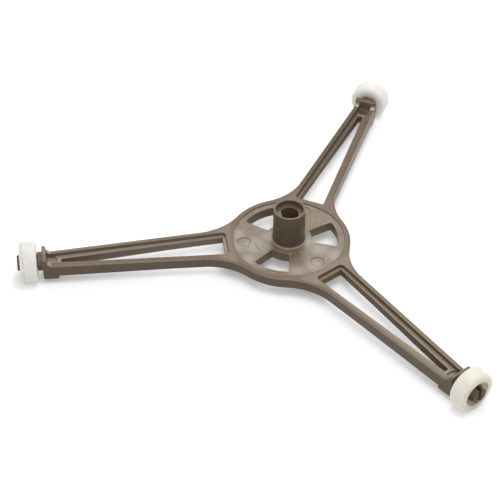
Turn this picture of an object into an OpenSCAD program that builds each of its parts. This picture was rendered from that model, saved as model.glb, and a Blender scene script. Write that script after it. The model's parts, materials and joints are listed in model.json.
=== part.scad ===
// Turntable support of a microwave oven: a three-armed moulded frame that sits on the motor shaft
// and carries three free-turning rollers, on which the glass tray rides.
// Millimetres, +Z up. The origin is on the hub axis at the underside of the hub plate.

/* [Hub plate] */
// Diameter of the round hub plate
hub_d = 52.6; // [46:0.2:60]
// Height of the hub plate and of the arms
frame_h = 4.8; // [3.6:0.1:6.5]
// Width of the raised rim round the disc
hub_rim_w = 2.45; // [1.6:0.05:4]
// Depth of the disc below the rim
disc_step = 0.4; // [0.2:0.05:0.9]
// Width of the disc outside the three windows
disc_land_w = 2.65; // [1.5:0.05:4]
// Width of the disc between the tube and the windows
core_land_w = 2.9; // [2:0.1:4.5]
// Opening angle of each window
window_angle = 44; // [24:1:60]
// Corner radius of the windows
window_corner_r = 1; // [0.4:0.1:1.6]
// Diameter of the round ejector marks
mark_d = 5.9; // [4:0.1:7]
// Distance of an ejector mark's centre from the disc's edge
mark_inset = 4.75; // [4.2:0.05:6]
// Depth of the ejector marks
mark_depth = 0.2; // [0.1:0.05:0.4]

/* [Drive tube] */
// Height of the tube above the hub plate
tube_h = 15.6; // [10:0.2:22]
// Diameter of the socket in the tube's mouth
socket_d = 11.8; // [10:0.1:14]
// Depth of that socket
socket_depth = 2.4; // [1.2:0.1:5]
// Wall of the tube at its mouth
tube_wall = 0.8; // [0.6:0.05:1.6]
// Growth of the tube's radius from mouth to foot
tube_draft = 0.3; // [0.1:0.05:0.6]
// Size of the foot bead round the tube
tube_foot = 0.4; // [0.2:0.1:1]
// Diameter of the shaft bore
bore_d = 8; // [6:0.1:9]
// Distance of the bore's flat from the axis
bore_flat = 3.4; // [2.6:0.05:4]

/* [Arms] */
// Diameter of the circle on which the rollers run
track_d = 220; // [190:1:260]
// Width of an arm where it leaves the hub plate
arm_root_w = 18.5; // [16:0.1:22]
// Width of an arm at its tip
arm_tip_w = 9.6; // [8.6:0.1:12]
// Radius of the fillets between the hub plate and the arms
arm_fillet_r = 25; // [15:0.5:35]
// Width of the high rim along an arm's edges
arm_rim_w = 2.2; // [1.6:0.05:2.6]
// Depth of the ledge below that rim
ledge_depth = 1.7; // [0.8:0.1:2.2]
// Width of the ledge at the hub end of an arm
ledge_w = 1.4; // [0.8:0.05:2]
// Corner radius of the ledge at the hub end
ledge_corner_r = 1.7; // [0.8:0.1:2.5]
// Width of the opening at its outer end
slot_w = 2.1; // [1.4:0.1:2.4]
// Corner radius of the opening's outer end
slot_corner_r = 0.7; // [0.2:0.1:0.7]
// Length of the web between the opening and the pocket
web_l = 1.5; // [1:0.1:4]
// Rounding of the top edge all round the outline
edge_r = 0.9; // [0.3:0.1:1.2]
// Distance from the hub axis at which an arm's underside starts to drop
belly_start = 50; // [40:1:70]
// Drop of an arm's underside at its end plate
belly_drop = 0.9; // [0.2:0.1:1]

/* [Arm ends] */
// Length of the pocket behind the end plate
pocket_l = 4.5; // [3:0.1:6]
// Width of the pocket
pocket_w = 5.8; // [4:0.1:6.4]
// Corner radius of the pocket at its hub end
pocket_corner_r = 1.9; // [0.6:0.1:1.9]
// Depth of the pocket below the arm's top
pocket_depth = 2.3; // [1.9:0.1:3.4]
// Fillet between the pocket's floor and the end plate
pocket_fillet_r = 1.6; // [0.6:0.1:1.8]
// Thickness of the end plate
plate_t = 1.6; // [1.2:0.1:2.4]
// Height of the end plate above the arm's top
plate_rise = 3; // [2.2:0.1:4]
// Rounding of the end plate's upper inner edge, where the sweep from the arm's edges ends
crest_r = 1; // [0.4:0.1:1.1]
// Length of the deeper block at the arm's end
block_l = 6.5; // [4:0.1:9]
// Drop of that block below the hub plate
block_drop = 2.3; // [1.2:0.1:2.8]
// Rounding of the block's lower edges
block_r = 0.8; // [0.3:0.1:1.1]

/* [Axles] */
// Depth of the axles below the arm's top
axle_drop = 1.05; // [0.4:0.05:2]
// Diameter of an axle
axle_d = 6.6; // [5:0.1:7]
// Diameter of the round boss between the end plate and the roller
boss_d = 8.1; // [7.6:0.1:9]
// Length of that boss
boss_l = 1.9; // [1:0.1:4]
// Height of the snap barbs above the axle
barb_h = 0.9; // [0.5:0.05:1.1]
// Length of the snap barbs
barb_l = 4; // [2.6:0.1:4.4]
// Radius that the barbs lose towards their tips
barb_taper = 1.2; // [0.6:0.1:1.6]
// Width of the slot that splits an axle into two prongs
split_w = 1.4; // [0.8:0.1:2]

/* [Rollers] */
// Diameter of a roller
roller_d = 17.3; // [15.6:0.1:20]
// Width of a roller
roller_w = 7; // [6:0.1:9]
// Rounding of a roller's edges
roller_edge_r = 1.4; // [0.5:0.1:1.6]
// Thickness of the roller's wall that the axle passes through
roller_web_t = 3.8; // [2.5:0.1:4.6]
// Rounding of the mouth of a roller's recess
recess_chamfer = 0.4; // [0.2:0.1:0.7]

/* [Clearances] */
// Radial clearance of a roller on its axle
running_clearance = 0.08; // [0.03:0.01:0.1]
// Side play of a roller at each end of its wall
side_play = 0.35; // [0.3:0.05:0.6]
// Radial room round the barbs in a roller's recess
recess_clearance = 1; // [0.8:0.1:1.3]

/* [Hidden] */
rear_angle = 90;
left_angle = 210;
right_angle = 330;
arm_angles = [rear_angle, left_angle, right_angle];
frame_colour = [0.40, 0.34, 0.29];
roller_colour = [0.93, 0.91, 0.85];
$fn = 96;
// Overlap of solids that join, and overshoot of cuts
eps = 0.05;
// Largest gap between a small arc and the points that stand for it
arc_gap = 0.01;
// How much deeper a rounding is cut than its radius, so that it crosses the faces that it joins
arc_bite = 0.006;
// How far a rounding's cut reaches past the edge that it rounds
cut_margin = arm_rim_w / 4;

hub_r = hub_d / 2;
disc_r = hub_r - hub_rim_w;
disc_z = frame_h - disc_step;
tube_top_z = frame_h + tube_h;
tube_r_top = socket_d / 2 + tube_wall;
tube_r_foot = tube_r_top + tube_draft;
window_r_out = disc_r - disc_land_w;
window_r_in = tube_r_foot + core_land_w;
mark_r = disc_r - mark_inset;

// Places along an arm, as distances from the hub axis
track_r = track_d / 2;
roller_in = track_r - roller_w / 2;
boss_end = roller_in - side_play;
plate_out = boss_end - boss_l;
plate_in = plate_out - plate_t;
pocket_start = plate_in - pocket_l;
block_start = plate_out - block_l;
slot_end = pocket_start - web_l;
recess_start = hub_r;
opening_start = recess_start + ledge_w;
barb_start = roller_in + roller_web_t + side_play;
axle_end = barb_start + barb_l;

// Heights
plate_top_z = frame_h + plate_rise;
sweep_r = plate_rise - crest_r;
below = -block_drop - eps;

axle_z = frame_h - axle_drop;
axle_r = axle_d / 2;
barb_r = axle_r + barb_h;
roller_bore_r = axle_r + running_clearance;
recess_r = barb_r + recess_clearance;

// An arm's edge leans by this angle to the arm's centre line
arm_lean = atan((arm_root_w - arm_tip_w) / 2 / (plate_out - hub_r));

// Half the width of an arm at a distance u from the hub axis
function arm_half(u) = arm_tip_w / 2 + (plate_out - u) * tan(arm_lean);

// Half the width of the recess inside an arm's high rim
function recess_half(u) = arm_half(u) - arm_rim_w / cos(arm_lean);

// The fillet between the hub plate and an arm: its centre, and the directions away from and along the edge
fillet_reach = arm_fillet_r - eps / 2;
normal = [sin(arm_lean), cos(arm_lean)];
along = [cos(arm_lean), -sin(arm_lean)];
edge_distance = normal * [hub_r, arm_root_w / 2];
fillet_foot = along * sqrt(pow(hub_r + fillet_reach, 2) - pow(edge_distance + fillet_reach, 2));
fillet_centre = fillet_foot + normal * (edge_distance + fillet_reach);
fillet_angle = atan2(fillet_centre.y, fillet_centre.x);

// Points on an arc round c from angle a0 to a1
function arc(c, r, a0, a1) =
    let (n = ceil(abs(a1 - a0) / (2 * acos(1 - arc_gap / r))))
    [for (i = [0:n]) c + r * [cos(a0 + (a1 - a0) * i / n), sin(a0 + (a1 - a0) * i / n)]];

function mirrored(points) = [for (i = [len(points) - 1:-1:0]) [points[i].x, -points[i].y]];

// Centre of a corner arc that touches a window's side and, inside or outside, the circle at r
function window_corner(r) =
    let (a = window_angle / 2 - asin(window_corner_r / r)) r * [cos(a), sin(a)];

module at_arms() {
    for (a = arm_angles) rotate(a) children();
}

// A profile drawn in the plane of the arm's length and the height, given a width across the arm
module across_arm(width) {
    translate([0, width / 2, 0]) rotate([90, 0, 0]) linear_extrude(width) children();
}

// The arm's plan from the hub axis to the end plate
module arm_plan() {
    polygon([[0, arm_half(0)], [plate_out, arm_half(plate_out)],
             [plate_out, -arm_half(plate_out)], [0, -arm_half(0)]]);
}

// Web that rounds the inner corner between the hub plate and one edge of an arm
module fillet_plan() {
    difference() {
        polygon([[0, 0], fillet_foot, fillet_centre]);
        translate(fillet_centre) circle(r = arm_fillet_r, $fn = 360);
    }
}

module spider_plan() {
    circle(r = hub_r, $fn = 180);
    at_arms() {
        arm_plan();
        fillet_plan();
        mirror([0, 1]) fillet_plan();
    }
}

// Section of what is cut from an edge to round it by r: the edge is at the origin, the material below
// and to the left
module edge_section(r) {
    difference() {
        translate([-r, -r]) square(r + cut_margin);
        translate([-r, -r]) circle(r = r + arc_bite);
    }
}

// The rounding of one side of an arm: its straight edge, then its fillet
module arm_edge_cut() {
    straight = (plate_in - sweep_r - fillet_foot.x) / along.x;
    edge_start = fillet_foot + normal * edge_distance;
    translate([edge_start.x, edge_start.y, frame_h]) rotate(-arm_lean) rotate([90, 0, 90])
        linear_extrude(straight) edge_section(edge_r);
    translate([fillet_centre.x, fillet_centre.y, frame_h]) rotate(fillet_angle + 180)
        rotate_extrude(angle = 90 - arm_lean - fillet_angle, $fn = 360)
            translate([arm_fillet_r, 0]) mirror([1, 0]) edge_section(edge_r);
}

// The rounding of the hub plate's edge from one arm to the next
module hub_edge_cut() {
    translate([0, 0, frame_h]) rotate(fillet_angle) rotate_extrude(angle = 120 - 2 * fillet_angle, $fn = 180)
        translate([hub_r, 0]) edge_section(edge_r);
}

module window_plan() {
    corner_out = window_corner(window_r_out - window_corner_r);
    corner_in = window_corner(window_r_in + window_corner_r);
    half = window_angle / 2;
    side = half + 90;
    a_out = atan2(corner_out.y, corner_out.x);
    a_in = atan2(corner_in.y, corner_in.x);
    edge = concat(
        arc([0, 0], window_r_out, 0, a_out),
        arc(corner_out, window_corner_r, a_out, side),
        arc(corner_in, window_corner_r, side, 180 + a_in),
        arc([0, 0], window_r_in, a_in, 0));
    polygon(concat(edge, mirrored(edge)));
}

// The recess inside an arm's high rim, as far as the pocket's straight sides
module recess_plan() {
    turn = 90 + arm_lean;
    recess_end = pocket_start + pocket_corner_r;
    corner_x = recess_start + ledge_corner_r;
    corner_y = recess_half(corner_x) - ledge_corner_r / cos(arm_lean);
    edge = concat(
        [[recess_end, recess_half(recess_end)]],
        arc([corner_x, corner_y], ledge_corner_r, 180 - turn, 180));
    polygon(concat(edge, mirrored(edge)));
}

// The opening through an arm, from the ledge at the hub end to its narrow outer end
module opening_plan() {
    r = slot_corner_r;
    root = recess_half(opening_start) - ledge_w;
    outer = [slot_end - r, slot_w / 2 - r];
    lean = atan((root - slot_w / 2) / (outer.x - opening_start));
    edge = concat([[opening_start, root]], arc(outer, r, 90 - lean, 0));
    polygon(concat(edge, mirrored(edge)));
}

module tube() {
    translate([0, 0, frame_h / 2]) cylinder(r = tube_r_foot, h = disc_step + frame_h / 2);
    translate([0, 0, disc_z]) cylinder(r1 = tube_r_foot + tube_foot, r2 = tube_r_foot, h = tube_foot);
    translate([0, 0, frame_h]) cylinder(r1 = tube_r_foot, r2 = tube_r_top, h = tube_h);
}

module shaft_bore() {
    rotate(left_angle) translate([0, 0, -eps]) linear_extrude(tube_top_z + 2 * eps) difference() {
        circle(r = bore_d / 2);
        translate([bore_flat, -bore_d]) square([bore_d, 2 * bore_d]);
    }
    translate([0, 0, tube_top_z - socket_depth]) cylinder(d = socket_d, h = socket_depth + eps);
}

// The wedge that deepens an arm towards its end
module arm_belly() {
    intersection() {
        across_arm(2 * arm_root_w) polygon([[belly_start, frame_h / 2], [belly_start, eps / 2],
                                            [plate_out, -belly_drop], [plate_out, frame_h / 2]]);
        translate([0, 0, below]) linear_extrude(frame_h - below) arm_plan();
    }
}

// The deeper block, the sweep of the side walls and the end plate
module arm_end() {
    intersection() {
        across_arm(2 * arm_tip_w) polygon(concat(
            arc([block_start + block_r, block_r - block_drop], block_r, 180, 270),
            arc([plate_out - block_r, block_r - block_drop], block_r, 270, 360),
            [[plate_out, frame_h / 2], [block_start, frame_h / 2]]));
        translate([0, 0, below]) linear_extrude(frame_h - below) arm_plan();
    }
    intersection() {
        across_arm(2 * arm_tip_w) polygon(concat(
            [[plate_in - sweep_r, frame_h / 2], [plate_out, frame_h / 2], [plate_out, plate_top_z]],
            arc([plate_in + crest_r, plate_top_z - crest_r], crest_r, 90, 180),
            arc([plate_in - sweep_r, frame_h + sweep_r - eps / 2], sweep_r, 0, -90)));
        linear_extrude(plate_top_z + eps) arm_plan();
    }
}

// The pocket in front of the end plate: its plan, and its floor that rises into the plate
module pocket() {
    half = pocket_w / 2;
    r = pocket_corner_r;
    floor_z = frame_h - pocket_depth;
    edge = concat([[plate_out, half]], arc([pocket_start + r, half - r], r, 90, 180));
    intersection() {
        linear_extrude(plate_top_z + 2 * eps) polygon(concat(edge, mirrored(edge)));
        across_arm(2 * arm_tip_w) polygon(concat(
            [[pocket_start - eps, plate_top_z + eps], [pocket_start - eps, floor_z]],
            arc([plate_in - pocket_fillet_r, floor_z + pocket_fillet_r], pocket_fillet_r, 270, 360),
            [[plate_in, plate_top_z + eps]]));
    }
}

module axle() {
    translate([plate_out - plate_t / 2, 0, axle_z]) rotate([0, 90, 0]) difference() {
        base = plate_out - plate_t / 2;
        union() {
            cylinder(d = boss_d, h = boss_end - base);
            cylinder(d = axle_d, h = axle_end - base - eps);
            translate([0, 0, barb_start - base])
                cylinder(r1 = barb_r, r2 = barb_r - barb_taper, h = barb_l);
        }
        translate([-boss_d, -split_w / 2, roller_in + side_play - base])
            cube([2 * boss_d, split_w, axle_end]);
    }
}

module frame() {
    color(frame_colour) difference() {
        union() {
            linear_extrude(frame_h) spider_plan();
            tube();
            at_arms() {
                arm_belly();
                arm_end();
                axle();
            }
        }
        difference() {
            translate([0, 0, disc_z]) cylinder(r = disc_r, h = disc_step + eps, $fn = 180);
            tube();
        }
        shaft_bore();
        translate([0, 0, -eps]) linear_extrude(frame_h + 2 * eps) at_arms() rotate(60) window_plan();
        at_arms() {
            translate([mark_r, 0, disc_z - mark_depth]) cylinder(d = mark_d, h = frame_h);
            translate([0, 0, frame_h - ledge_depth]) linear_extrude(frame_h) recess_plan();
            translate([0, 0, below]) linear_extrude(frame_h - below + eps) opening_plan();
            pocket();
            hub_edge_cut();
            arm_edge_cut();
            mirror([0, 1, 0]) arm_edge_cut();
        }
    }
}

// Half the section of a roller, from its bore and recess to its tread
module roller_section() {
    r = roller_d / 2;
    difference() {
        polygon([
            [roller_bore_r, 0],
            [r, 0],
            [r, roller_w],
            [recess_r + recess_chamfer, roller_w],
            [recess_r, roller_w - recess_chamfer],
            [recess_r, roller_web_t],
            [roller_bore_r, roller_web_t]]);
        translate([r, roller_w]) edge_section(roller_edge_r);
        translate([r, 0]) mirror([0, 1]) edge_section(roller_edge_r);
    }
}

// A roller is turned about its axle and moved out to the end of its arm
module roller(angle) {
    color(roller_colour) rotate(angle) translate([roller_in, 0, axle_z]) rotate([0, 90, 0])
        rotate_extrude($fn = 180) roller_section();
}

module roller_rear() { roller(rear_angle); }
module roller_left() { roller(left_angle); }
module roller_right() { roller(right_angle); }

frame();
roller_rear();
roller_left();
roller_right();
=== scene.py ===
import json
import math

import bpy
from mathutils import Matrix, Vector


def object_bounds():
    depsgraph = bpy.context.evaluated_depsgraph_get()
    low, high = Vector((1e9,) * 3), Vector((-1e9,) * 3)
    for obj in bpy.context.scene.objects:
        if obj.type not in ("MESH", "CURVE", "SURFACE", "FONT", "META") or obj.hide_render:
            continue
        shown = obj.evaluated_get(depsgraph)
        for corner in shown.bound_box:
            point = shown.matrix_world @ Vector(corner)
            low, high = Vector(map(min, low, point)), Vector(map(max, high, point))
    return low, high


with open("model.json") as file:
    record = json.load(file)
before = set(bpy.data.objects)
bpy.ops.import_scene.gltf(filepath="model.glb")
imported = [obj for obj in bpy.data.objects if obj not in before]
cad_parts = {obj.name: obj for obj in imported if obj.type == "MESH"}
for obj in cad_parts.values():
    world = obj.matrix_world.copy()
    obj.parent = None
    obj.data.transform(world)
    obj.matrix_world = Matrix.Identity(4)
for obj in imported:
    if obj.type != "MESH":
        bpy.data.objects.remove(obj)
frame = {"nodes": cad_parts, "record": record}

cad_box = [list(corner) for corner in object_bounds()]


# The frame: one injection moulding in taupe-brown plastic, with the hub plate, drive tube, three arms and
# their split axles in one shot. Its skin is satin with a fine grain from the mould. Its colour carries
# painted light:
# the arms' tops and the disc are painted paler or darker for the light and sheen they get, the sides are
# painted darker as shade, glints and highlights are painted on edges, the bead and the sweeps, and the inner
# corners are painted darker, partly as shade and partly as dirt.

# Lengths in millimetres, from the hub's axis and from the frame's underside
DISC_R, DISC_Z = 23.85, 4.4
WINDOW_R_IN, WINDOW_R_OUT = 9.9, 21.2
BORE_R = 6.1
FRAME_H, RECESS_Z = 4.8, 2.8
BEAD_R, FOOT_R = 7.4, 8.2
MARK_AT, MARK_R = 19.1, 2.95
ARM_ROOT, ARM_MIDDLE, ARM_TIP = 27.0, 50.0, 99.5
OPENING_END, SWEEP_FOOT = 96.65, 100.65
ARM_END, ARM_END_HALF, ARM_SLOPE = 104.25, 4.8, 0.0571
ARM_PITCH = math.radians(120)
FIRST_GAP = math.radians(30)
# Spots on the disc, each an x, y and size: pale ones, partly rubbed and partly painted sheen, then brown
# smudges, partly dirt and partly painted shade
RUBBED_AND_SHEEN_SPOTS = ((-12.0, -10.0, 8.0), (-19.0, -14.0, 6.0), (-11.0, -19.0, 5.0), (-8.0, -2.0, 5.0),
          (-21.0, -6.0, 5.0), (14.5, -1.5, 6.0), (22.0, -3.0, 5.5), (9.0, 1.0, 5.0), (16.0, -12.0, 5.5),
          (10.0, -18.0, 6.0))
SMUDGES_AND_SHADE = ((5.6, -10.4, 2.6), (7.4, -8.0, 1.8), (-4.4, -10.2, 2.2), (-7.8, -18.6, 2.0),
           (-21.0, 8.0, 7.0), (21.0, 11.0, 6.0), (0.0, -22.0, 3.0))
SCRATCH_R = 14.6
SCRATCHES = ((-134, 16), (5, 4))


def shade(red, green, blue):
    """A colour as it is read off a screen, 0 to 255, as the light values that a shader takes."""
    return tuple(((c / 255 + 0.055) / 1.055) ** 2.4 for c in (red, green, blue)) + (1.0,)


# Some of these colours are painted light and shade, not the plastic's own: those for the arms' tops, the
# walls, the ledges, the disc, the edges, the bead, the glints and the corner darkening. Where they are used
# says which.
TAUPE = ((0.3, shade(103, 86, 65)), (0.5, shade(109, 91, 70)), (0.72, shade(114, 97, 76)))
REAR_TOP_SHADE = shade(78, 62, 44)
LEFT_TOP_LIGHT = shade(148, 135, 116)
RIGHT_TOP_LIGHT = shade(148, 135, 119)
ROOT_TOP = shade(152, 139, 122)
LIT_WINDOW_WALL = shade(140, 127, 112)
SIDE_WALL_SHADE = shade(87, 76, 67)
BORE_WALL = shade(116, 97, 76)
LIT_INNER_WALL = shade(156, 141, 124)
DULL_INNER_WALL = shade(115, 95, 75)
LIT_RECESS_FLOOR = shade(158, 146, 131)
DISC_TONE_AND_SHEEN = shade(148, 133, 114)
PALE_BLOTCH = shade(166, 151, 131)
PALE_STREAK = shade(136, 120, 103)
PALE_MOTTLE = shade(160, 148, 132)
BROWN_MOTTLE = shade(74, 58, 43)
PALE_FLECK = shade(196, 188, 176)
BROWN_SPECK = shade(70, 56, 41)
EDGE_WEAR_AND_HIGHLIGHT = shade(160, 147, 131)
SHOULDER_SHEEN = shade(162, 147, 130)
PAINTED_GLINT = shade(226, 217, 206)
TIP_STAIN = shade(98, 78, 60)
AXLE_GRIME = shade(76, 62, 48)
RUBBED_AND_SHEEN_PALE = shade(192, 186, 176)
SMUDGE_AND_SHADE = shade(74, 58, 44)
FOOT_DARKENING = shade(78, 62, 48)
FOOT_BEAD_HIGHLIGHT = shade(214, 200, 182)
EDGE_DIRT_AND_SHADE = shade(92, 76, 58)
SCRATCH = shade(66, 52, 40)
CORNER_SHADE_AND_DIRT = shade(58, 44, 33)


class Field:
    """A value, colour or direction that varies over a surface. Arithmetic on it adds Math nodes."""

    def __init__(self, socket):
        self.socket = socket

    def node(self, kind, settings=None, values=None, out=0):
        made = self.socket.id_data.nodes.new("ShaderNode" + kind)
        for name, value in (settings or {}).items():
            if name == "stops":
                while len(made.color_ramp.elements) < len(value):
                    made.color_ramp.elements.new(1.0)
                for stop, (at, colour) in zip(made.color_ramp.elements, value):
                    stop.position, stop.color = at, colour
            else:
                setattr(made, name, value)
        for name, value in (values or {}).items():
            put(made.inputs[name], value)
        return Field(made.outputs[out])

    def math(self, operation, *values):
        return self.node("Math", {"operation": operation}, dict(enumerate(values)))

    def __add__(self, other):
        return self.math("ADD", self, other)

    def __radd__(self, other):
        return self.math("ADD", other, self)

    def __sub__(self, other):
        return self.math("SUBTRACT", self, other)

    def __rsub__(self, other):
        return self.math("SUBTRACT", other, self)

    def __mul__(self, other):
        return self.math("MULTIPLY", self, other)

    def __rmul__(self, other):
        return self.math("MULTIPLY", other, self)

    def __truediv__(self, other):
        return self.math("DIVIDE", self, other)

    def __pow__(self, other):
        return self.math("POWER", self, other)

    def __abs__(self):
        return self.math("ABSOLUTE", self)

    def most(self, other):
        return self.math("MAXIMUM", self, other)

    def rise(self, low, high):
        """0 below low, 1 above high, smooth between; falls instead where low is above high."""
        if low > high:
            return 1 - self.rise(high, low)
        return self.node("MapRange", {"interpolation_type": "SMOOTHSTEP"},
                         {"Value": self, "From Min": low, "From Max": high})

    def near(self, middle, width):
        """1 at middle, falling to 0 at width away from it."""
        return abs(self - middle).rise(width, width * 0.35)

    def axes(self):
        return [Field(o) for o in self.node("SeparateXYZ", None, {"Vector": self}).socket.node.outputs]

    def noise(self, scale, detail=3, rough=0.5, stretch=(1, 1, 1)):
        """Cloudy noise around 0.5, with about scale spots in each millimetre of the part."""
        at = self.node("VectorMath", {"operation": "MULTIPLY"}, {0: self, 1: stretch})
        return at.node("TexNoise", None, {"Vector": at, "Scale": scale, "Detail": detail, "Roughness": rough})

    def tint(self, amount, colour):
        """This colour with another over it, by amount."""
        return self.node("Mix", {"data_type": "RGBA"}, {0: amount, 6: self, 7: colour}, out=2)


def put(socket, value):
    if isinstance(value, Field):
        socket.id_data.links.new(value.socket, socket)
    else:
        socket.default_value = value


def finish_called(name):
    """An empty material and its surface shader, and the millimetre position of a point on the piece."""
    made = bpy.data.materials.new(name)
    made.use_nodes = True
    shader = made.node_tree.nodes["Principled BSDF"]
    corner = Field(made.node_tree.nodes.new("ShaderNodeTexCoord").outputs["Object"])
    place = corner.node("VectorMath", {"operation": "SCALE"}, {0: corner, 3: 1000.0})
    return made, shader, place


frame_plastic, frame_shader, place = finish_called("frame_plastic")

# Where a point lies from the hub's axis, which arm it belongs to, and how far along and across that arm
x, y, z = place.axes()
radius = (x * x + y * y) ** 0.5
bearing = y.math("ARCTAN2", y, x)
gap = (bearing - FIRST_GAP) / ARM_PITCH
arm = gap.math("FLOORED_MODULO", gap.math("FLOOR", gap), 3.0)
rear = (1 - arm).most(0)
left = arm.near(1, 0.5)
right = arm.rise(1.2, 1.8)
aside = (gap.math("FLOORED_MODULO", gap, 1.0) - 0.5) * ARM_PITCH
along = radius * aside.math("COSINE", aside)
across = radius * aside.math("SINE", aside)
on_arm = place.node("CombineXYZ", None, {"X": along, "Y": across, "Z": z + arm * 40})

# Which way its face looks, and how near it is to an edge or an inner corner
soft = place.node("Bevel", {"samples": 6}, {"Radius": 0.00022})
worn = place.node("Bevel", {"samples": 6}, {"Radius": 0.00045})
flat = place.node("NewGeometry", None, None, out="Normal")
edge = 1 - place.node("VectorMath", {"operation": "DOT_PRODUCT"}, {0: worn, 1: flat}, out="Value")
open_air = place.node("AmbientOcclusion", {"samples": 8, "only_local": True}, {"Distance": 0.0011}, out="AO")
tilt = flat.axes()[2]
upward = tilt.rise(0.6, 0.9)
wall = abs(tilt).rise(0.4, 0.1)

# Masks, each 1 on one part of the moulding and 0 elsewhere; second is the arm's second bar, going
# anticlockwise. Two are distances: depth, in from the arm's side, and mark, from the ejector mark's centre.
disc = radius.rise(DISC_R + 0.1, DISC_R - 0.1) * upward * z.near(DISC_Z - 0.1, 0.25)
beyond_disc = radius.rise(DISC_R, DISC_R + 1)
beyond_root = radius.rise(ARM_ROOT, ARM_ROOT + 7)
root = upward * along.near(ARM_ROOT, 5) * beyond_disc
outer = upward * radius.rise(DISC_R, ARM_MIDDLE)
second = across.rise(-1, 1)
shoulder = tilt.near(0.55, 0.4) * z.rise(FRAME_H - 1.1, FRAME_H - 0.7) * beyond_disc
window = radius.rise(WINDOW_R_OUT + 0.5, WINDOW_R_OUT + 0.2) * z.rise(DISC_Z + 0.1, DISC_Z)
window = window * radius.rise(WINDOW_R_IN - 0.8, WINDOW_R_IN - 0.5)
bore = wall * radius.rise(BORE_R + 0.1, BORE_R)
depth = ARM_END_HALF + (ARM_END - along) * ARM_SLOPE - abs(across)
inner_wall = wall * depth.rise(1.4, 1.9) * beyond_disc
dull = inner_wall * (1 - left)
recess = upward * z.near(RECESS_Z, 0.6) * beyond_disc
web = along.near(OPENING_END + 0.2, 0.45) * z.near(RECESS_Z + 0.2, 0.7) * abs(across).rise(2.0, 1.5) * upward
sweep = along.near(SWEEP_FOOT + 0.7, 1.0) * z.rise(FRAME_H - 0.4, FRAME_H - 0.1) * tilt.rise(0.4, 0.7)
axle = along.rise(ARM_END, ARM_END + 0.3)
foot = radius.near(FOOT_R, 1.6) * y.rise(-3, -7)
bead = tilt.near(0.7, 0.3).most(wall) * radius.near(BEAD_R, 1.2) * z.rise(5.6, 5.0) * z.rise(4.3, 4.4)
mark = ((along - MARK_AT) * (along - MARK_AT) + across * across) ** 0.5
mark_edge = mark.rise(MARK_R - 0.9, MARK_R - 0.2) * mark.rise(MARK_R + 0.15, MARK_R)
disc_edge = radius.rise(DISC_R - 1.0, DISC_R - 0.2) * x.rise(-12, -19)

# Noise from broad clouds down to the grain
clouds = place.noise(0.11, 4, 0.6)
blotches = place.noise(0.4, 3, 0.6)
mottle = place.noise(0.9, 4, 0.65)
flecks = place.noise(2.6, 2, 0.7)
specks = place.noise(2.2, 3, 0.7)
grain = place.noise(5.0, 2, 0.6)
streaks = on_arm.noise(0.5, 3, 0.6, stretch=(0.12, 1.6, 1.0)) - 0.5

# The plastic's own colour, with painted light and shade over it: each arm's tops are painted paler or darker
# for the light and sheen they get, the arms' roots are paler where rubbed, the window walls, the left arm's
# inner walls and the ledges are painted paler for the light that reaches them, the sides are painted darker
# as shade, and the disc is paler, partly its own tone and partly painted sheen
colour = clouds.node("ValToRGB", {"stops": TAUPE}, {"Fac": clouds})
left_top_light = along.rise(ARM_MIDDLE, ARM_MIDDLE + 25) * 0.25 + (1 - second) * 0.3
right_top_light = 0.3 + along.rise(ARM_MIDDLE, ARM_MIDDLE + 35) * 0.25 - second * 0.2
colour = colour.tint(outer * rear * (0.4 + second * 0.35), REAR_TOP_SHADE)
colour = colour.tint(outer * left * left_top_light, LEFT_TOP_LIGHT)
colour = colour.tint(outer * right * right_top_light, RIGHT_TOP_LIGHT)
colour = colour.tint(root * (0.35 - rear * 0.3), ROOT_TOP)
colour = colour.tint(window * wall * 0.3, LIT_WINDOW_WALL)
colour = colour.tint((1 - window) * (wall - bore) * 0.65, SIDE_WALL_SHADE)
colour = colour.tint(bore * 0.4, BORE_WALL)
colour = colour.tint(inner_wall * left * 0.4, LIT_INNER_WALL)
colour = colour.tint(dull * 0.8, DULL_INNER_WALL)
colour = colour.tint(recess * (0.7 - rear * 0.6 + left * 0.25), LIT_RECESS_FLOOR)
colour = colour.tint(disc * 0.45, DISC_TONE_AND_SHEEN)

# Its mottling, flecks and specks; sharp edges paler, partly wear and partly painted highlight; painted sheen
# on the rounded top edges; and painted glints at the sweeps' feet and the web's edge
colour = colour.tint(blotches.rise(0.52, 0.66) * disc * 0.3, PALE_BLOTCH)
colour = colour.tint(upward * beyond_root * streaks.rise(0.05, 0.22) * 0.4, PALE_STREAK)
colour = colour.tint(mottle.rise(0.55, 0.75) * (0.05 + upward * 0.15 + disc * 0.4), PALE_MOTTLE)
colour = colour.tint(mottle.rise(0.45, 0.25) * (0.05 + upward * 0.3 + disc * 0.2), BROWN_MOTTLE)
colour = colour.tint(flecks.rise(0.68, 0.76) * (0.1 + upward * 0.25 + disc * 0.25), PALE_FLECK)
colour = colour.tint(specks.rise(0.62, 0.72) * (upward - disc * 0.4) * 0.5, BROWN_SPECK)
colour = colour.tint(edge.rise(0.02, 0.14) * open_air.rise(0.5, 0.8) * 0.5, EDGE_WEAR_AND_HIGHLIGHT)
colour = colour.tint(shoulder * (0.3 + mottle * 0.4), SHOULDER_SHEEN)
colour = colour.tint((sweep * 0.7).most(web * 0.5) * (0.3 + rear * 0.6) * (1 - right), PAINTED_GLINT)
colour = colour.tint(along.rise(ARM_TIP, ARM_TIP + 1.5) * right * 0.5, TIP_STAIN)
colour = colour.tint(axle * 0.45, AXLE_GRIME)


def patches(spots, wander):
    """1 inside any of the round spots on the disc, each an x, y and size, with a wandering soft edge."""
    found = None
    for at_x, at_y, size in spots:
        away = ((x - at_x) * (x - at_x) + (y - at_y) * (y - at_y)) ** 0.5 + wander
        spot = away.rise(size, size * 0.1)
        found = spot if found is None else found.most(spot)
    return found


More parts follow.
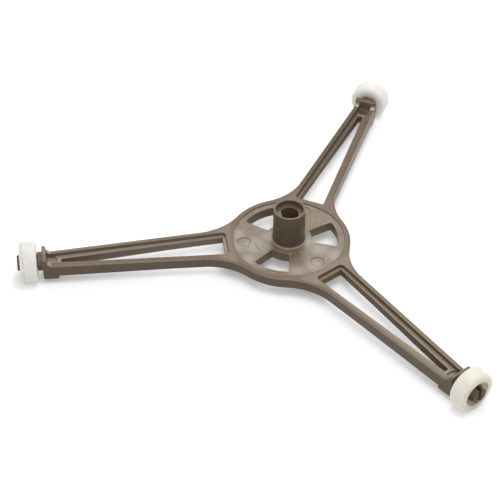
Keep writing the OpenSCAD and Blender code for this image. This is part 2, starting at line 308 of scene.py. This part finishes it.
# Pale patches on the disc, partly rubbed and partly painted sheen; brown smudges, partly dirt and partly
# painted shade; darker round the front of the tube's foot; a painted highlight on its bead; and dark lines
# along the edges of the ejector marks and the disc's left edge, partly dirt and partly painted shade of the
# steps
wander = (blotches - 0.5) * 5
colour = colour.tint(disc * patches(RUBBED_AND_SHEEN_SPOTS, wander) * (0.2 + mottle * 0.4), RUBBED_AND_SHEEN_PALE)
colour = colour.tint(disc * patches(SMUDGES_AND_SHADE, wander) * (0.2 + mottle * 0.2), SMUDGE_AND_SHADE)
colour = colour.tint(foot * upward * (0.1 + mottle * 0.35), FOOT_DARKENING)
colour = colour.tint(bead * 0.33, FOOT_BEAD_HIGHLIGHT)
colour = colour.tint(disc * (mark_edge * 0.45).most(disc_edge * 0.4), EDGE_DIRT_AND_SHADE)

# Two fine curved scratches in the disc, each a bearing and half its length in degrees, and the inner corners
# painted darker where little open air reaches: painted shade, partly dirt
scratch = None
for middle, half in SCRATCHES:
    stretch = (bearing * math.degrees(1)).near(middle, half)
    scratch = stretch if scratch is None else scratch.most(stretch)
scratch = scratch * (radius + mottle * 0.36 - 0.18).near(SCRATCH_R, 0.22) * disc
colour = colour.tint(scratch * 0.7, SCRATCH)
colour = colour.tint(open_air.rise(0.45, 0.15) * (0.05 + mottle * 0.35), CORNER_SHADE_AND_DIRT)

roughness = 0.29 + (clouds - 0.5) * 0.16 - disc * 0.03 + (mottle - 0.5) * 0.14 + abs(streaks) * 0.2
roughness = roughness + dull * 0.35
height = grain * 0.3 + mottle * 0.6 + streaks * 0.3 - scratch * 1.5
bump = place.node("Bump", None, {"Strength": 0.35, "Distance": 0.00012, "Height": height, "Normal": soft})

put(frame_shader.inputs["Base Color"], colour)
put(frame_shader.inputs["Roughness"], roughness)
put(frame_shader.inputs["Normal"], bump)
frame_shader.inputs["IOR"].default_value = 1.5
frame_shader.inputs["Specular IOR Level"].default_value = 0.22
frame["nodes"]["frame"].data.materials[0] = frame_plastic


# The rollers: three identical mouldings in cream-white plastic, snapped over the axles. They are satin
# and let light through, so their shaded sides stay pale. The tread's edges and the recess are soiled,
# the right roller most, which has yellowed too.
ROLLER_R, TREAD_EDGE, OUTER_FACE = 8.65, 2.1, 2.6
RECESS_R, RECESS_FROM = 5.3, 2.2
CREAM = ((0.3, shade(229, 226, 216)), (0.55, shade(234, 232, 224)), (0.75, shade(238, 237, 231)))
YELLOWED = shade(228, 217, 186)
YELLOWED_FACE = shade(224, 210, 170)
OUTER_LINE = shade(172, 156, 118)
INNER_LINE = shade(182, 168, 134)
RECESS_GRIME = shade(158, 138, 92)
ROLLER_FLECK = shade(160, 148, 126)
SOIL = {"rear": (0.3, 0.2, 0.3), "left": (0.15, 0.5, 0.3), "right": (1.0, 0.08, 0.8)}

for joint in frame["record"]["behaviour"]["joints"]:
    side = joint["name"].removesuffix("_roll")
    yellow, line, grime = SOIL[side]
    roller_plastic, shader, place = finish_called("roller_plastic_" + side)
    centre = tuple(1000 * value for value in joint["pos_m"])
    offset = place.node("VectorMath", {"operation": "SUBTRACT"}, {0: place, 1: centre})
    outward = offset.node("VectorMath", {"operation": "DOT_PRODUCT"}, {0: offset, 1: joint["axis"]}, "Value")
    distance = offset.node("VectorMath", {"operation": "LENGTH"}, {0: offset}, "Value")
    reach = (distance * distance - outward * outward) ** 0.5
    soft = place.node("Bevel", {"samples": 6}, {"Radius": 0.0004})
    clouds = place.noise(0.16, 3, 0.55)
    mottle = place.noise(1.1, 4, 0.6)
    flecks = place.noise(1.9, 2, 0.5)
    tread = reach.rise(ROLLER_R - 0.5, ROLLER_R - 0.2)
    outer_line = outward.near(TREAD_EDGE, 0.4) * tread * mottle.rise(0.35, 0.6)
    inner_line = outward.near(-TREAD_EDGE, 0.35) * tread * mottle.rise(0.45, 0.65)
    recess = reach.near(RECESS_R, 0.8) * outward.rise(RECESS_FROM, RECESS_FROM + 0.8)
    colour = clouds.node("ValToRGB", {"stops": CREAM}, {"Fac": clouds})
    colour = colour.tint(clouds.rise(0.35, 0.65) * yellow * 0.6, YELLOWED)
    colour = colour.tint(outward.rise(OUTER_FACE, OUTER_FACE + 0.6) * yellow * 0.4, YELLOWED_FACE)
    colour = colour.tint(outer_line * line, OUTER_LINE)
    colour = colour.tint(inner_line * line * 0.6, INNER_LINE)
    colour = colour.tint(recess * grime * mottle.rise(0.3, 0.6), RECESS_GRIME)
    colour = colour.tint(flecks.rise(0.72, 0.8) * (0.15 + 0.4 * grime), ROLLER_FLECK)
    bump = place.node("Bump", None, {"Strength": 0.2, "Distance": 0.00015, "Height": mottle, "Normal": soft})
    put(shader.inputs["Base Color"], colour)
    put(shader.inputs["Roughness"], 0.42 + (mottle - 0.5) * 0.2)
    put(shader.inputs["Normal"], bump)
    shader.inputs["IOR"].default_value = 1.48
    shader.inputs["Subsurface Weight"].default_value = 1.0
    shader.inputs["Subsurface Radius"].default_value = (1.0, 0.96, 0.88)
    shader.inputs["Subsurface Scale"].default_value = 0.008
    frame["nodes"]["roller_" + side].data.materials[0] = roller_plastic


# The ground: a white sheet of paper on which the three rollers stand. It keeps their soft shadow, and
# where the camera or a gloss sees it in full light it is white.
GROUND_SIZE = 3.0
PAPER = (0.935, 0.945, 0.965, 1)
WHITENED, WHITENED_FAR_OFF = 0.26, 0.5
ground_z = cad_box[0][2]

ground_mesh = bpy.data.meshes.new("ground")
quarters = ((-1, -1), (1, -1), (1, 1), (-1, 1))
corners = [(i * GROUND_SIZE, j * GROUND_SIZE, ground_z) for i, j in quarters]
ground_mesh.from_pydata(corners, [], [(0, 1, 2, 3)])
ground = bpy.data.objects.new("ground", ground_mesh)
bpy.context.scene.collection.objects.link(ground)


def seen_directly(any_field):
    """1 where the camera, or a gloss or glass that mirrors the surroundings, looks; 0 for other light."""
    rays = any_field.node("LightPath").socket.node.outputs
    mirrored = Field(rays["Is Glossy Ray"]).most(Field(rays["Is Transmission Ray"]))
    return Field(rays["Is Camera Ray"]).most(mirrored)


paper, shader, place = finish_called("paper")
x, y = place.axes()[:2]
far_off = ((x * x + y * y) ** 0.5).rise(250, 900)
put(shader.inputs["Emission Color"], seen_directly(place) * (WHITENED + far_off * WHITENED_FAR_OFF))
shader.inputs["Emission Strength"].default_value = 1.0
shader.inputs["Base Color"].default_value = PAPER
shader.inputs["Roughness"].default_value = 1.0
shader.inputs["Specular IOR Level"].default_value = 0.0
ground_mesh.materials.append(paper)


# The light: a soft box high above the part, a lamp behind it whose mirror image gives the plastic its
# sheen, a weak one in front, and a pale room all round.
TURN = math.radians(21.447)
BEHIND = Vector((-math.sin(TURN), math.cos(TURN), 0))
BESIDE = Vector((math.cos(TURN), math.sin(TURN), 0))
ROOM = 0.52


def panel(name, right, back, up, size, watts):
    """A square lamp to the right of, behind and above the hub, in metres, that faces the hub."""
    lamp = bpy.data.lights.new(name, "AREA")
    lamp.shape, lamp.size, lamp.energy = "SQUARE", size, watts
    holder = bpy.data.objects.new(name, lamp)
    bpy.context.scene.collection.objects.link(holder)
    holder.location = BESIDE * right + BEHIND * back + Vector((0, 0, up))
    holder.rotation_euler = holder.location.to_track_quat("Z", "Y").to_euler()


panel("soft_box", right=0.05, back=-0.05, up=0.55, size=0.28, watts=1.05)
panel("sheen_lamp", right=0.05, back=0.41, up=0.46, size=0.22, watts=0.85)
panel("fill_lamp", right=0.0, back=-0.26, up=0.45, size=0.2, watts=0.25)

room = bpy.data.worlds.new("room")
bpy.context.scene.world = room
room.use_nodes = True
walls = room.node_tree.nodes["Background"]
white = seen_directly(Field(room.node_tree.nodes.new("ShaderNodeTexCoord").outputs["Generated"]))
put(walls.inputs["Color"], ROOM + white * (1 - ROOM))


# The view: from the front, 41 degrees above the ground, with a long lens.
TILT, ROLL = math.radians(41.4457), math.radians(0.6208)
CAMERA_AT = (0.155935, -0.441786, 0.410859)
SENSOR_MM, LENS_MM = 36.0, 104.905
turn = Matrix.Rotation(TURN, 3, "Z")
level = Vector((1, 0, 0))
ahead = Vector((0, math.cos(TILT), -math.sin(TILT)))
above = Vector((0, math.sin(TILT), math.cos(TILT)))
rightward = turn @ (math.cos(ROLL) * level + math.sin(ROLL) * above)
upright = turn @ (-math.sin(ROLL) * level + math.cos(ROLL) * above)
backward = turn @ -ahead

lens = bpy.data.cameras.new("view")
lens.sensor_width, lens.lens = SENSOR_MM, LENS_MM
lens.clip_start, lens.clip_end = 0.01, 20
view = bpy.data.objects.new("view", lens)
bpy.context.scene.collection.objects.link(view)
facing = Matrix((rightward, upright, backward)).transposed().to_4x4()
view.matrix_world = Matrix.Translation(CAMERA_AT) @ facing
bpy.context.scene.camera = view
bpy.context.scene.view_settings.view_transform = "Standard"
